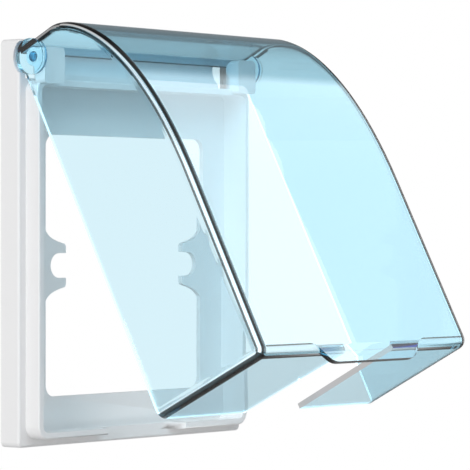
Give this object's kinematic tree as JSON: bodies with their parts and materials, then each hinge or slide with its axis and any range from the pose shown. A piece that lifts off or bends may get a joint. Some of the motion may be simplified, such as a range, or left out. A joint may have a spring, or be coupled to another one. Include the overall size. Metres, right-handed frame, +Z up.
{
  "type": "waterproof socket cover",
  "caption": "Wall-mounted splash cover for a flush socket: white moulded frame with a rimmed well and screw ears, and a clear light-blue lid hinged at the top.",
  "frame": {"origin": "point on the wall plane midway between the two fixing screws", "axes": "+X right along the wall, +Y into the wall, +Z up"},
  "size_m": [0.1024, 0.099, 0.124],
  "materials": {
    "frame_abs": "satin",
    "lid_clear": "gloss"
  },
  "bodies": {
    "frame_body": {"frame": "frame_abs"},
    "lid_body": {"lid": "lid_clear"}
  },
  "joints": [
    {"name": "lid_hinge", "type": "hinge", "parent": "frame_body", "child": "lid_body", "pos_m": [0, -0.0112, 0.0612], "axis": [-1, 0, 0], "range_deg": [-27.5, 51.5]}
  ]
}
